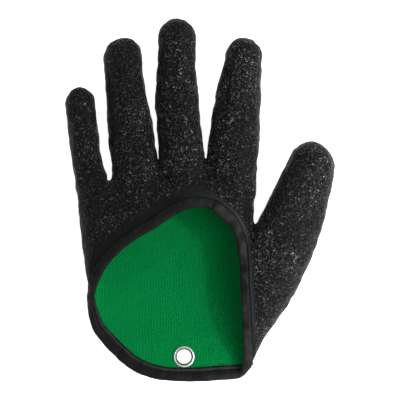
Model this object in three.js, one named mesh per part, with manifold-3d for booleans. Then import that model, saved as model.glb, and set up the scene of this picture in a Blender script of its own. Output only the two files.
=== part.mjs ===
// A right-hand fishing glove that lies on its back with the palm up. It is a knitted liner
// dipped in crinkled latex. The heel of the palm is cut away so that a wet hand slips in, the
// whole cut edge is bound with one folded tape, and an eyelet for a release clip goes through
// the back of the wrist.
//
// Lengths are millimetres. The hand frame has +X to the thumb, +Y to the fingertips and +Z up
// out of the palm. Its origin is on the floor, on the palm's middle line, at the wrist hem. The
// group then moves the glove so that the middle of its outline is above the origin.

import * as THREE from "three";
import { mergeVertices } from "three/addons/utils/BufferGeometryUtils.js";
import Module from "manifold-3d";

const wasm = await Module();
wasm.setup();

// Palm
const PALM_LENGTH = 140; // wrist hem to the crotch beside the middle finger
const PALM_WIDTH = 114;
const PALM_THICKNESS = 34;
const PALM_TOP_POWER = 2.5;
const PALM_UNDER_POWER = 4;

// Wall
const LATEX_THICKNESS = 0.9;
const LINER_THICKNESS = 1.1;
const LAYER_GAP = 0.3;

// Binding
const TAPE_THICKNESS = 0.8;
const TAPE_OUTER_WIDTH = 6.4;
const TAPE_INNER_WIDTH = 7.4;
const INNER_SLOPE = 0.5; // share of the inner leaf's width that shows from above beside the thumb

// Eyelet
const EYELET_BORE = 9.2;
const EYELET_DIAMETER = 13.8;
const EYELET_SHEET = 0.5;
const EYELET_FROM_HEM = 15.5;
const EYELET_FROM_MIDDLE = 10.7;
const FLANGE_HEIGHT = 1.1;
const FLANGE_BEVEL = 0.6; // share of its height that the flange's rounded rims take
const WASHER_DIAMETER = 13.4;

// Fingers and thumb. Width and thickness are those of the limb at its middle, lean is its
// angle from +Y in degrees, and rootX and rootY place the buried end on the palm.
const LITTLE = { length: 95.4, width: 18.8, thickness: 17.5, lean: -7.2, rootX: -43.9, rootY: 91.9 };
const RING = { length: 118.8, width: 25, thickness: 21, lean: -5.9, rootX: -16.9, rootY: 100.8 };
const MIDDLE = { length: 125.7, width: 25.5, thickness: 22, lean: -2.7, rootX: 11.1, rootY: 104.7 };
const INDEX = { length: 118.9, width: 28, thickness: 22.5, lean: 5.8, rootX: 37.9, rootY: 100.8 };
const THUMB = { length: 144.7, width: 38, thickness: 27, lean: 21.9, rootX: 41, rootY: 18.1 };
const LIMB_TOP_POWER = 2.2;
const LIMB_UNDER_POWER = 3;

const WALL = LATEX_THICKNESS + LAYER_GAP + LINER_THICKNESS;
const FOLD = LAYER_GAP + TAPE_THICKNESS; // the tape's fold covers this much beyond the wall's cut edge
const LIP = EYELET_SHEET; // the eyelet's barrel is rolled out under the washer
// The back of the wrist is lifted off the floor by what lies under it.
const UNDER_EYELET = LAYER_GAP + EYELET_SHEET + LAYER_GAP + LIP;
const HEM_LIFT = Math.max(FOLD, UNDER_EYELET) + LAYER_GAP;

// Sections of the palm. along is a share of its length, left and right are shares of its width
// from the middle line, top is a share of its thickness, and lift is a share of HEM_LIFT.
const PALM_SECTIONS = [
  // along, left, right, top, lift
  [-0.06, -0.385, 0.38, 0.36, 1],
  [0.0, -0.4, 0.42, 0.38, 1],
  [0.05, -0.407, 0.457, 0.43, 1],
  [0.11, -0.415, 0.488, 0.5, 1],
  [0.18, -0.431, 0.505, 0.6, 1],
  [0.28, -0.445, 0.53, 0.74, 0],
  [0.42, -0.443, 0.55, 0.89, 0],
  [0.6, -0.462, 0.52, 1.0, 0],
  [0.68, -0.468, 0.483, 1.0, 0],
  [0.8, -0.477, 0.48, 0.95, 0],
  [0.88, -0.4, 0.492, 0.83, 0],
  [0.915, -0.3, 0.49, 0.72, 0],
  [0.955, -0.28, 0.48, 0.6, 0],
];
const PALM_FRONT = 0.995; // share of the length where the web between the fingers ends
const PALM_SINK = 0.03; // share of the thickness that the floor flattens off the back

// Sections of a limb. along is a share of its length, left and right are shares of its width
// from the axis, rise is the height of the middle and depth half the thickness, both as
// shares of the thickness. The rounded tip is worked out and isn't in the rows.
const LITTLE_SECTIONS = [
  // along, left, right, rise, depth
  [0.0, 0.5, 0.5, 0.75, 0.58],
  [0.25, 0.54, 0.53, 0.69, 0.6],
  [0.42, 0.545, 0.515, 0.62, 0.56],
  [0.56, 0.575, 0.415, 0.57, 0.53],
  [0.74, 0.575, 0.445, 0.58, 0.5],
  [1.0, 0.51, 0.465, 0.8, 0.46],
];
const RING_SECTIONS = [
  [0.0, 0.5, 0.5, 0.73, 0.6],
  [0.3, 0.57, 0.59, 0.65, 0.6],
  [0.45, 0.6, 0.6, 0.58, 0.56],
  [0.56, 0.58, 0.545, 0.55, 0.53],
  [0.68, 0.545, 0.465, 0.54, 0.51],
  [0.8, 0.535, 0.455, 0.57, 0.5],
  [1.0, 0.475, 0.475, 0.74, 0.47],
];
const MIDDLE_SECTIONS = [
  [0.0, 0.5, 0.5, 0.7, 0.6],
  [0.3, 0.58, 0.57, 0.63, 0.59],
  [0.45, 0.585, 0.51, 0.57, 0.56],
  [0.6, 0.605, 0.49, 0.54, 0.53],
  [0.75, 0.55, 0.445, 0.55, 0.51],
  [0.87, 0.48, 0.485, 0.61, 0.49],
  [1.0, 0.46, 0.5, 0.72, 0.46],
];
const INDEX_SECTIONS = [
  [0.0, 0.45, 0.42, 0.64, 0.53],
  [0.3, 0.615, 0.54, 0.62, 0.58],
  [0.45, 0.6, 0.555, 0.56, 0.54],
  [0.6, 0.575, 0.5, 0.53, 0.52],
  [0.73, 0.53, 0.47, 0.54, 0.5],
  [0.86, 0.42, 0.42, 0.6, 0.48],
  [1.0, 0.39, 0.41, 0.7, 0.45],
];
const THUMB_SECTIONS = [
  [0.0, 0.3, 0.3, 0.33, 0.22],
  [0.1, 0.4, 0.4, 0.43, 0.34],
  [0.2, 0.48, 0.48, 0.55, 0.47],
  [0.3, 0.52, 0.59, 0.61, 0.57],
  [0.42, 0.54, 0.635, 0.64, 0.6],
  [0.54, 0.43, 0.64, 0.66, 0.58],
  [0.68, 0.39, 0.61, 0.69, 0.53],
  [0.82, 0.35, 0.525, 0.75, 0.49],
  [1.0, 0.3, 0.385, 0.84, 0.45],
];

// The finished edge of the glove in plan, from the little finger's side to the thumb's. across
// is a share of the palm's width, hem and heel are shares of its length: hem is the edge of the
// back of the hand, and heel the edge of the palm where its heel is cut away. side is 1 where
// the heel's edge runs along the thumb's side of the palm.
const EDGE_LINE = [
  // across, hem, heel, side
  [-0.6, 0.366, 0.384, 0],
  [-0.49, 0.353, 0.378, 0],
  [-0.455, 0.339, 0.373, 0],
  [-0.442, 0.3, 0.373, 0],
  [-0.43, 0.251, 0.376, 0],
  [-0.409, 0.215, 0.41, 0],
  [-0.38, 0.184, 0.455, 0],
  [-0.346, 0.152, 0.507, 0],
  [-0.305, 0.12, 0.55, 0],
  [-0.254, 0.081, 0.591, 0],
  [-0.198, 0.046, 0.628, 0],
  [-0.131, 0.022, 0.662, 0],
  [-0.053, 0.005, 0.698, 0],
  [0.025, -0.002, 0.742, 0],
  [0.092, -0.004, 0.774, 0],
  [0.142, -0.004, 0.789, 0],
  [0.187, -0.004, 0.794, 0],
  [0.232, -0.002, 0.785, 0],
  [0.277, 0.001, 0.76, 0.2],
  [0.321, 0.003, 0.723, 0.4],
  [0.355, 0.006, 0.692, 0.7],
  [0.383, 0.01, 0.639, 1],
  [0.397, 0.014, 0.571, 1],
  [0.405, 0.017, 0.457, 1],
  [0.413, 0.019, 0.321, 1],
  [0.422, 0.021, 0.184, 1],
  [0.429, 0.022, 0.1, 1],
  [0.434, 0.024, 0.06, 1],
  [0.44, 0.025, 0.032, 1],
  [0.45, 0.02, 0.022, 1],
  [0.47, 0.008, 0.008, 1],
  [0.52, 0.0, 0.0, 1],
];
const HEM_TOP = 6; // up to this height the edge follows the hem
const HEEL_BOTTOM = 16; // and from this height up it follows the heel

const PALM_SIDES = 24;
const LIMB_SIDES = 12;
const TIP_ANGLES = [34, 64]; // degrees round the tip from its widest ring to its pole
const TIP_CLEAR = 0.02; // share of a limb's length that rings keep from the start of its tip
const EDGE_POINTS = 44;
// A place that sees every point of the edge, in shares of the palm's width and length
const EDGE_MIDDLE = [-0.53, -0.43];
const EYELET_SEGMENTS = 20;
const EDGE_FINENESS = 4; // points of the drawn edge line for each point kept
const SAME_POINT = 1e-4;
const NEARLY_ALL = 0.995; // share of an offset that a moved edge keeps from the line it came from
const FAR = 200; // beyond every part of the glove

const radians = THREE.MathUtils.degToRad;

// Straight interpolation of one column of a table against its first column.
function column(rows, index, along) {
  let row = 1;
  while (row < rows.length - 1 && rows[row][0] < along) row += 1;
  const share = (along - rows[row - 1][0]) / (rows[row][0] - rows[row - 1][0]);
  return THREE.MathUtils.lerp(rows[row - 1][index], rows[row][index], THREE.MathUtils.clamp(share, 0, 1));
}

function liftAt(y) {
  return HEM_LIFT * column(PALM_SECTIONS, 4, y / PALM_LENGTH);
}

// A ring of points with its own reach to each side, as [across, up] pairs round a middle.
function sectionRing(sides, left, right, up, down, upPower, downPower) {
  return Array.from({ length: sides }, (_, i) => {
    const angle = (2 * Math.PI * i) / sides;
    const power = Math.sin(angle) < 0 ? downPower : upPower;
    const c = Math.sign(Math.cos(angle)) * Math.abs(Math.cos(angle)) ** (2 / power);
    const s = Math.sign(Math.sin(angle)) * Math.abs(Math.sin(angle)) ** (2 / power);
    return [c * (c < 0 ? left : right), s * (s < 0 ? down : up)];
  });
}

// A closed solid through rings of points. Each end is closed by a fan about its middle, or
// about the point that ends gives for it.
function loft(rings, ends = [middleOf(rings[0]), middleOf(rings.at(-1))]) {
  const sides = rings[0].length;
  const points = [...rings.flat(), ...ends];
  const index = [];
  for (let r = 0; r < rings.length - 1; r += 1) {
    for (let i = 0; i < sides; i += 1) {
      const a = r * sides + i;
      const b = r * sides + ((i + 1) % sides);
      index.push(a, b, b + sides, a, b + sides, a + sides);
    }
  }
  const last = (rings.length - 1) * sides;
  for (let i = 0; i < sides; i += 1) {
    const j = (i + 1) % sides;
    index.push(points.length - 2, j, i, points.length - 1, last + i, last + j);
  }
  return new THREE.BufferGeometry().setFromPoints(points).setIndex(index);
}

function middleOf(ring) {
  return ring.reduce((sum, point) => sum.addScaledVector(point, 1 / ring.length), new THREE.Vector3());
}

function solidOf(geometry) {
  geometry.deleteAttribute("normal");
  geometry.deleteAttribute("uv");
  const merged = mergeVertices(geometry, SAME_POINT);
  return new wasm.Manifold(
    new wasm.Mesh({
      numProp: 3,
      vertProperties: merged.attributes.position.array,
      triVerts: new Uint32Array(merged.index.array),
    }),
  );
}

// The palm, drawn in by inset on every side.
function palmSolid(inset) {
  const ring = (along, left, right, top, squeeze) => {
    const y = along * PALM_LENGTH;
    const height = top * PALM_THICKNESS;
    const middleX = ((left + right) / 2) * PALM_WIDTH;
    const middleZ = height * (0.5 - PALM_SINK / 2);
    const reach = (((right - left) / 2) * PALM_WIDTH - inset) * squeeze;
    const up = (height - middleZ - inset) * squeeze;
    const down = (height / 2 + (height * PALM_SINK) / 2 - inset) * squeeze;
    const floor = inset + liftAt(y);
    return sectionRing(PALM_SIDES, reach, reach, up, down, PALM_TOP_POWER, PALM_UNDER_POWER).map(
      ([x, z]) => new THREE.Vector3(middleX + x, y, Math.max(middleZ + z, floor)),
    );
  };
  const rings = PALM_SECTIONS.map(([along, left, right, top]) => ring(along, left, right, top, 1));
  const [lastAlong, left, right, top] = PALM_SECTIONS.at(-1);
  const front = PALM_FRONT - inset / PALM_LENGTH - lastAlong;
  for (const angle of TIP_ANGLES.map(radians)) {
    rings.push(ring(lastAlong + front * Math.sin(angle), left, right, top, Math.cos(angle)));
  }
  return solidOf(loft(rings.reverse()));
}

// A finger or the thumb, drawn in by inset on every side.
function limbSolid(limb, rows, inset) {
  const lean = radians(limb.lean);
  const roundness = (column(rows, 1, 1) + column(rows, 2, 1)) / 2;
  const tipStart = 1 - (roundness * limb.width) / limb.length;
  const tipEnd = 1 - inset / limb.length;
  const ring = (along, squeeze) => {
    const [left, right, rise, depth] = [1, 2, 3, 4].map((index) => column(rows, index, along));
    const distance = along * limb.length;
    const middleZ = rise * limb.thickness;
    const half = (depth * limb.thickness - inset) * squeeze;
    const reach = [left, right].map((share) => (share * limb.width - inset) * squeeze);
    return sectionRing(LIMB_SIDES, ...reach, half, half, LIMB_TOP_POWER, LIMB_UNDER_POWER).map(([x, z]) => {
      const px = limb.rootX + distance * Math.sin(lean) + x * Math.cos(lean);
      const py = limb.rootY + distance * Math.cos(lean) - x * Math.sin(lean);
      return new THREE.Vector3(px, py, Math.max(middleZ + z, inset + liftAt(py)));
    });
  };
  const alongs = rows.map(([along]) => along).filter((along) => along < tipStart - TIP_CLEAR);
  alongs[0] = inset / limb.length;
  const rings = [...alongs, tipStart].map((along) => ring(along, 1));
  for (const angle of TIP_ANGLES.map(radians)) {
    rings.push(ring(tipStart + (tipEnd - tipStart) * Math.sin(angle), Math.cos(angle)));
  }
  return solidOf(loft(rings.reverse()));
}

const LIMBS = [
  [LITTLE, LITTLE_SECTIONS],
  [RING, RING_SECTIONS],
  [MIDDLE, MIDDLE_SECTIONS],
  [INDEX, INDEX_SECTIONS],
  [THUMB, THUMB_SECTIONS],
];

// The whole hand as one solid, drawn in by inset, or grown where inset is below zero.
function handSolid(inset) {
  return LIMBS.reduce((hand, [limb, rows]) => hand.add(limbSolid(limb, rows, inset)), palmSolid(inset));
}

// The edge line at a mix of hem and heel, moved by offset into the glove, as points in plan.
// A slope below 1 moves it less beside the thumb, where the palm's edge stands on its side.
function edgeLine(mix, offset, slope) {
  const curve = (index) =>
    new THREE.CatmullRomCurve3(
      EDGE_LINE.map((row) => new THREE.Vector3(row[0] * PALM_WIDTH, row[index] * PALM_LENGTH, row[3])),
      false,
      "centripetal",
    ).getPoints(EDGE_POINTS * EDGE_FINENESS);
  const heel = curve(2);
  const base = curve(1).map((point, i) => point.lerp(heel[i], mix));
  const flat = base.map((point) => new THREE.Vector3(point.x, point.y, 0));
  const moved = flat.map((point, i) => {
    const along = flat[Math.min(i + 1, flat.length - 1)].clone().sub(flat[Math.max(i - 1, 0)]).normalize();
    const distance = offset * THREE.MathUtils.lerp(1, slope, base[i].z * mix);
    const shifted = new THREE.Vector3(point.x - along.y * distance, point.y + along.x * distance, 0);
    return { shifted, clear: flat.every((other) => other.distanceTo(shifted) >= distance * NEARLY_ALL) };
  });
  return turnedEvenly(moved.filter(({ clear }) => clear).map(({ shifted }) => shifted));
}

const edgeMiddle = new THREE.Vector3(EDGE_MIDDLE[0] * PALM_WIDTH, EDGE_MIDDLE[1] * PALM_LENGTH, 0);
const bearing = (point) => Math.atan2(point.x - edgeMiddle.x, point.y - edgeMiddle.y);

// Points of a line at even steps of their bearing from the edge's middle, so that the lines of
// all heights run through the same bearings.
function turnedEvenly(line) {
  const bearings = line.map(bearing);
  return Array.from({ length: EDGE_POINTS }, (_, i) => {
    const wanted = THREE.MathUtils.lerp(bearings[0], bearings.at(-1), i / (EDGE_POINTS - 1));
    const next = Math.max(1, bearings.findIndex((value) => value >= wanted - SAME_POINT / FAR));
    const share = (wanted - bearings[next - 1]) / (bearings[next] - bearings[next - 1]);
    return line[next - 1].clone().lerp(line[next], THREE.MathUtils.clamp(share, 0, 1));
  });
}

// Everything beyond the edge line moved by offset: cutting it away leaves the glove open.
function beyondEdge(offset, slope = 1) {
  const levels = [
    // height, mix of hem and heel
    [-FAR, 0],
    [HEM_TOP, 0],
    [(HEM_TOP + HEEL_BOTTOM) / 2, 0.5],
    [HEEL_BOTTOM, 1],
    [FAR, 1],
  ];
  const rings = levels.map(([z, mix]) => {
    const line = edgeLine(mix, offset, slope);
    const corners = [
      new THREE.Vector3(-FAR, line[0].y, 0),
      new THREE.Vector3(-FAR, -FAR, 0),
      new THREE.Vector3(FAR, -FAR, 0),
      new THREE.Vector3(FAR, line.at(-1).y, 0),
    ];
    return [...corners, ...line.reverse()].map((point) => new THREE.Vector3(point.x, point.y, z));
  });
  return solidOf(loft(rings, [edgeMiddle.clone().setZ(-FAR), edgeMiddle.clone().setZ(FAR)]));
}

// A round solid or ring about the eyelet's axis, from pairs of radius and height.
function turned(profile) {
  const points = profile.map(([radius, height]) => new THREE.Vector2(radius, height));
  const geometry = new THREE.LatheGeometry([...points, points[0]], EYELET_SEGMENTS);
  geometry.rotateX(Math.PI / 2);
  geometry.translate(EYELET_FROM_MIDDLE, EYELET_FROM_HEM, 0);
  return geometry;
}

const handOutside = handSolid(0);
const handUnderLatex = handSolid(LATEX_THICKNESS);
const handOverLiner = handSolid(LATEX_THICKNESS + LAYER_GAP);
const handInside = handSolid(WALL);
const beyondWall = beyondEdge(FOLD);

// Eyelet
const boreRadius = EYELET_BORE / 2;
const barrelRadius = boreRadius + EYELET_SHEET;
const flangeRadius = EYELET_DIAMETER / 2;
const washerRadius = WASHER_DIAMETER / 2;
const linerTop = HEM_LIFT + WALL;
const flangeTop = linerTop + LAYER_GAP + FLANGE_HEIGHT;
const bevel = FLANGE_HEIGHT * FLANGE_BEVEL;
const washerTop = HEM_LIFT - LAYER_GAP;
const lipTop = washerTop - EYELET_SHEET - LAYER_GAP;
const lipRadius = (barrelRadius + washerRadius) / 2;
const eyeletProfile = [
  [boreRadius, lipTop - LIP],
  [lipRadius, lipTop - LIP],
  [lipRadius, lipTop],
  [barrelRadius, lipTop],
  [barrelRadius, linerTop + LAYER_GAP],
  [flangeRadius, linerTop + LAYER_GAP],
  [flangeRadius, flangeTop - bevel],
  [flangeRadius - bevel, flangeTop],
  [boreRadius + bevel, flangeTop],
  [boreRadius, flangeTop - bevel],
];
const washerProfile = [
  [barrelRadius + LAYER_GAP, washerTop - EYELET_SHEET],
  [washerRadius, washerTop - EYELET_SHEET],
  [washerRadius, washerTop],
  [barrelRadius + LAYER_GAP, washerTop],
];
const holeProfile = [
  [0, -FAR],
  [barrelRadius + LAYER_GAP, -FAR],
  [barrelRadius + LAYER_GAP, linerTop + FLANGE_HEIGHT],
  [0, linerTop + FLANGE_HEIGHT],
];
const eyeletHole = solidOf(turned(holeProfile));

// Latex and liner
const latex = handOutside.subtract(handUnderLatex).subtract(beyondWall).subtract(eyeletHole);
const liner = handOverLiner.subtract(handInside).subtract(beyondWall).subtract(eyeletHole);

// Binding: a leaf on the outside, a leaf on the inside and the fold between them
const tapeOutside = handSolid(-LAYER_GAP - TAPE_THICKNESS);
const tapeInside = handSolid(WALL + LAYER_GAP + TAPE_THICKNESS);
const beyondTape = beyondEdge(0);
const outerEnd = beyondEdge(TAPE_OUTER_WIDTH);
const outerLeaf = tapeOutside.subtract(handSolid(-LAYER_GAP)).intersect(outerEnd);
const innerEnd = beyondEdge(TAPE_INNER_WIDTH, INNER_SLOPE);
const innerLeaf = handSolid(WALL + LAYER_GAP).subtract(tapeInside).intersect(innerEnd);
const fold = tapeOutside.subtract(tapeInside).intersect(beyondEdge(TAPE_THICKNESS));
const binding = outerLeaf.add(innerLeaf).add(fold).subtract(beyondTape);

function largestBody(solid) {
  return solid.decompose().reduce((best, body) => (body.volume() > best.volume() ? body : best));
}

function geometryOf(solid) {
  const mesh = solid.getMesh();
  const stride = mesh.numProp;
  const points = Array.from({ length: mesh.numVert }, (_, i) =>
    new THREE.Vector3().fromArray(mesh.vertProperties, i * stride),
  );
  return new THREE.BufferGeometry().setFromPoints(points).setIndex([...mesh.triVerts]);
}

const blackLatex = new THREE.MeshStandardMaterial({ color: 0x1b1b1c, roughness: 0.5, metalness: 0 });
const greenKnit = new THREE.MeshStandardMaterial({ color: 0x007a3a, roughness: 0.9, metalness: 0 });
const blackTape = new THREE.MeshStandardMaterial({ color: 0x222122, roughness: 0.7, metalness: 0 });
const nickel = new THREE.MeshStandardMaterial({ color: 0xd6d8d8, roughness: 0.2, metalness: 1 });

const glove = new THREE.Group();
for (const [name, geometry, material] of [
  ["latex_shell", geometryOf(largestBody(latex)), blackLatex],
  ["knit_liner", geometryOf(largestBody(liner)), greenKnit],
  ["edge_binding", geometryOf(largestBody(binding)), blackTape],
  ["eyelet", turned(eyeletProfile), nickel],
  ["eyelet_washer", turned(washerProfile), nickel],
]) {
  const mesh = new THREE.Mesh(geometry, material);
  mesh.name = name;
  glove.add(mesh);
}

// The origin goes on the floor under the middle of the outline.
const outline = new THREE.Box3().setFromObject(glove);
const middle = outline.getCenter(new THREE.Vector3());
glove.position.set(-middle.x, -middle.y, -outline.min.z);

export default glove;
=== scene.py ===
import math

import bpy
import numpy as np
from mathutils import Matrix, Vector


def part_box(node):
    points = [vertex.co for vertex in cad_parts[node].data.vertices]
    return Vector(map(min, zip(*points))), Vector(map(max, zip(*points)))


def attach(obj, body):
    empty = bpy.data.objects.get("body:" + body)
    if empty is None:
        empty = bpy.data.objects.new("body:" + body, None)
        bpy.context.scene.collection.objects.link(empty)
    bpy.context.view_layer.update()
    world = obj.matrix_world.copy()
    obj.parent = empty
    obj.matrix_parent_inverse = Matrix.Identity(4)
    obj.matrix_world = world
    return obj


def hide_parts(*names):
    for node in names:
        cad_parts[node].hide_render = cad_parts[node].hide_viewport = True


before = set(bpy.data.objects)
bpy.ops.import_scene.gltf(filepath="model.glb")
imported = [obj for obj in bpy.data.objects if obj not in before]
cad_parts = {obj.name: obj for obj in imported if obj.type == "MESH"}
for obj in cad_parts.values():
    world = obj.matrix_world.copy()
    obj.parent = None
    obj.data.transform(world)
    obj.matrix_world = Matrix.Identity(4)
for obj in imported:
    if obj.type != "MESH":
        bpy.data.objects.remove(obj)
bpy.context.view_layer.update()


# The camera stands square above the palm, far off, so that the glove is seen nearly without
# perspective. The frame is as wide as 400 pixels of the photograph are at the glove's own scale.
CAMERA_HEIGHT = 1.5
FRAME_MIDDLE = (0.0001, 0.0015)
FRAME_WIDTH = 0.2546
GLOVE_MIDDLE_HEIGHT = 0.014
SENSOR_WIDTH = 36.0

camera_data = bpy.data.cameras.new("camera")
camera_data.sensor_width = SENSOR_WIDTH
camera_data.lens = SENSOR_WIDTH * (CAMERA_HEIGHT - GLOVE_MIDDLE_HEIGHT) / FRAME_WIDTH
camera = bpy.data.objects.new("camera", camera_data)
camera.location = (*FRAME_MIDDLE, CAMERA_HEIGHT)
bpy.context.collection.objects.link(camera)
bpy.context.scene.camera = camera


# The studio is a white sweep under soft light. The main lamp is a large softbox low on the
# thumb's side, and a weaker one on the other side fills the shadows. Two small ones put glints on
# the crinkled coat. The sweep glows by itself and stays white.
WHITE = (1.0, 1.0, 1.0, 1.0)
WALLS_STRENGTH = 0.3
SWEEP_SIZE = 6.0
SWEEP_LOOK = {
    "Base Color": (0.93, 0.93, 0.93, 1.0),
    "Roughness": 0.9,
    "Specular IOR Level": 0.0,
    "Emission Color": WHITE,
    "Emission Strength": 0.96,
}
# Each lamp is a square softbox that faces the middle of the glove
LAMPS = {
    # place, size, watts
    "main_softbox": ((0.68, -0.4, 0.66), 0.95, 12.0),
    "fill_softbox": ((-1.0, -0.2, 1.1), 0.9, 2.0),
    "right_spark": ((0.6, 0.15, 0.75), 0.08, 3.0),
    "left_spark": ((-0.9, 0.25, 1.2), 0.12, 1.0),
}

for name, (place, size, watts) in LAMPS.items():
    x, y, z = place
    lamp_data = bpy.data.lights.new(name, "AREA")
    lamp_data.shape = "SQUARE"
    lamp_data.size = size
    lamp_data.energy = watts
    lamp = bpy.data.objects.new(name, lamp_data)
    lamp.location = place
    lamp.rotation_euler = (math.atan2(math.hypot(x, y), z), 0.0, math.atan2(y, x) + math.pi / 2)
    bpy.context.collection.objects.link(lamp)

world = bpy.data.worlds.new("studio_walls")
world.use_nodes = True
background = world.node_tree.nodes["Background"]
background.inputs["Color"].default_value = WHITE
background.inputs["Strength"].default_value = WALLS_STRENGTH
bpy.context.scene.world = world
bpy.context.scene.view_settings.view_transform = "Standard"

half = SWEEP_SIZE / 2
sweep_corners = [(-half, -half, 0), (half, -half, 0), (half, half, 0), (-half, half, 0)]
sweep_mesh = bpy.data.meshes.new("white_sweep")
sweep_mesh.from_pydata(sweep_corners, [], [(0, 1, 2, 3)])
sweep = bpy.data.objects.new("white_sweep", sweep_mesh)
bpy.context.collection.objects.link(sweep)
sweep_paint = bpy.data.materials.new("white_sweep")
sweep_paint.use_nodes = True
for key, value in SWEEP_LOOK.items():
    sweep_paint.node_tree.nodes["Principled BSDF"].inputs[key].default_value = value
sweep_mesh.materials.append(sweep_paint)
sweep.visible_diffuse = False


# The latex coat: the knitted hand is dipped in black latex, which is crinkled while it sets, so
# the whole outside is covered in fine wrinkles. It holds the shape of the hand form it was
# dipped on. Lengths are millimetres in the hand frame, whose origin is the palm's middle at the hem.
EYELET_PLACE = np.array([10.7, 15.5])
PALM = {"length": 140.0, "width": 114.0, "thickness": 34.0, "front": 0.995, "sink": 0.03}
LATEX_WALL = 0.9
LINER_WALL = 1.1
LAYER_GAP = 0.3
WALL = LATEX_WALL + LAYER_GAP + LINER_WALL
HEM_LIFT = 1.9
BACK_BELOW = 8.0  # what lies lower than this is the back of the hand
EYELET_HOLE = 5.4  # radius of the hole for the eyelet's barrel
CUT_UNDER_FOLD = 1.3  # how far inside the finished edge the coat is cut, under the tape's fold
# The net of the coat: its cell, and the corners of the space that it is sought in
SKIN_CELL = 1.22
SKIN_LOW = (-68.0, -4.0, -2.5)
SKIN_HIGH = (110.0, 234.0, 39.0)

# Sections of the palm, as shares of its length, width and thickness
PALM_SECTIONS = np.array([
    # along, left, right, top, lift
    [-0.06, -0.385, 0.35, 0.36, 1],
    [0.0, -0.4, 0.39, 0.38, 1],
    [0.05, -0.407, 0.448, 0.43, 1],
    [0.11, -0.415, 0.494, 0.5, 1],
    [0.15, -0.424, 0.508, 0.55, 1],
    [0.18, -0.431, 0.51, 0.6, 1],
    [0.28, -0.445, 0.53, 0.74, 0],
    [0.42, -0.434, 0.55, 0.89, 0],
    [0.5, -0.456, 0.54, 0.945, 0],
    [0.6, -0.467, 0.52, 1.0, 0],
    [0.68, -0.469, 0.483, 1.0, 0],
    [0.8, -0.477, 0.48, 0.95, 0],
    [0.88, -0.4, 0.492, 0.83, 0],
    [0.915, -0.3, 0.49, 0.72, 0],
    [0.955, -0.28, 0.48, 0.6, 0],
])
PALM_POWERS = (2.5, 4.0)

# Fingers and thumb: their sizes, and sections as shares of their length, width and thickness
LIMBS = {
    "little": ({"length": 96.1, "width": 18.8, "thickness": 17.5, "lean": -7.2, "root": (-43.9, 91.9)}, [
        # along, left, right, rise, depth
        [0.0, 0.5, 0.5, 0.75, 0.58],
        [0.25, 0.54, 0.53, 0.69, 0.6],
        [0.42, 0.545, 0.515, 0.62, 0.56],
        [0.56, 0.575, 0.415, 0.57, 0.53],
        [0.74, 0.575, 0.445, 0.58, 0.5],
        [1.0, 0.51, 0.465, 0.8, 0.46],
    ]),
    "ring": ({"length": 118.8, "width": 25.0, "thickness": 21.0, "lean": -5.9, "root": (-16.9, 100.8)}, [
        [0.0, 0.5, 0.5, 0.73, 0.6],
        [0.3, 0.57, 0.59, 0.65, 0.6],
        [0.45, 0.6, 0.57, 0.58, 0.56],
        [0.56, 0.58, 0.545, 0.55, 0.53],
        [0.68, 0.545, 0.465, 0.54, 0.51],
        [0.8, 0.535, 0.455, 0.57, 0.5],
        [1.0, 0.475, 0.475, 0.74, 0.47],
    ]),
    "middle": ({"length": 126.6, "width": 25.5, "thickness": 22.0, "lean": -2.7, "root": (11.1, 104.7)}, [
        [0.0, 0.5, 0.5, 0.7, 0.6],
        [0.3, 0.57, 0.57, 0.63, 0.59],
        [0.45, 0.585, 0.51, 0.57, 0.56],
        [0.6, 0.605, 0.49, 0.54, 0.53],
        [0.75, 0.515, 0.445, 0.55, 0.51],
        [0.87, 0.45, 0.485, 0.61, 0.49],
        [1.0, 0.46, 0.5, 0.72, 0.46],
    ]),
    "index": ({"length": 118.9, "width": 28.0, "thickness": 22.5, "lean": 5.8, "root": (37.9, 100.8)}, [
        [0.0, 0.45, 0.42, 0.64, 0.53],
        [0.3, 0.615, 0.54, 0.62, 0.58],
        [0.45, 0.6, 0.555, 0.56, 0.54],
        [0.6, 0.575, 0.5, 0.53, 0.52],
        [0.73, 0.53, 0.47, 0.54, 0.5],
        [0.86, 0.42, 0.42, 0.6, 0.48],
        [1.0, 0.39, 0.41, 0.7, 0.45],
    ]),
    "thumb": ({"length": 144.7, "width": 38.0, "thickness": 27.0, "lean": 21.9, "root": (41.0, 18.1)}, [
        [0.0, 0.3, 0.3, 0.33, 0.22],
        [0.1, 0.4, 0.4, 0.43, 0.34],
        [0.2, 0.48, 0.48, 0.55, 0.47],
        [0.3, 0.52, 0.58, 0.61, 0.57],
        [0.42, 0.54, 0.62, 0.64, 0.6],
        [0.54, 0.43, 0.64, 0.66, 0.58],
        [0.68, 0.39, 0.61, 0.69, 0.53],
        [0.82, 0.35, 0.52, 0.75, 0.49],
        [0.9, 0.322, 0.465, 0.79, 0.47],
        [1.0, 0.27, 0.34, 0.84, 0.45],
    ]),
}
LIMB_POWERS = (2.2, 3.0)
ROOT_CAP = 14.0
BLEND = {"fingers": 1.0, "palm": 5.0, "thumb": 3.5, "floor": 2.0}

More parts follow.
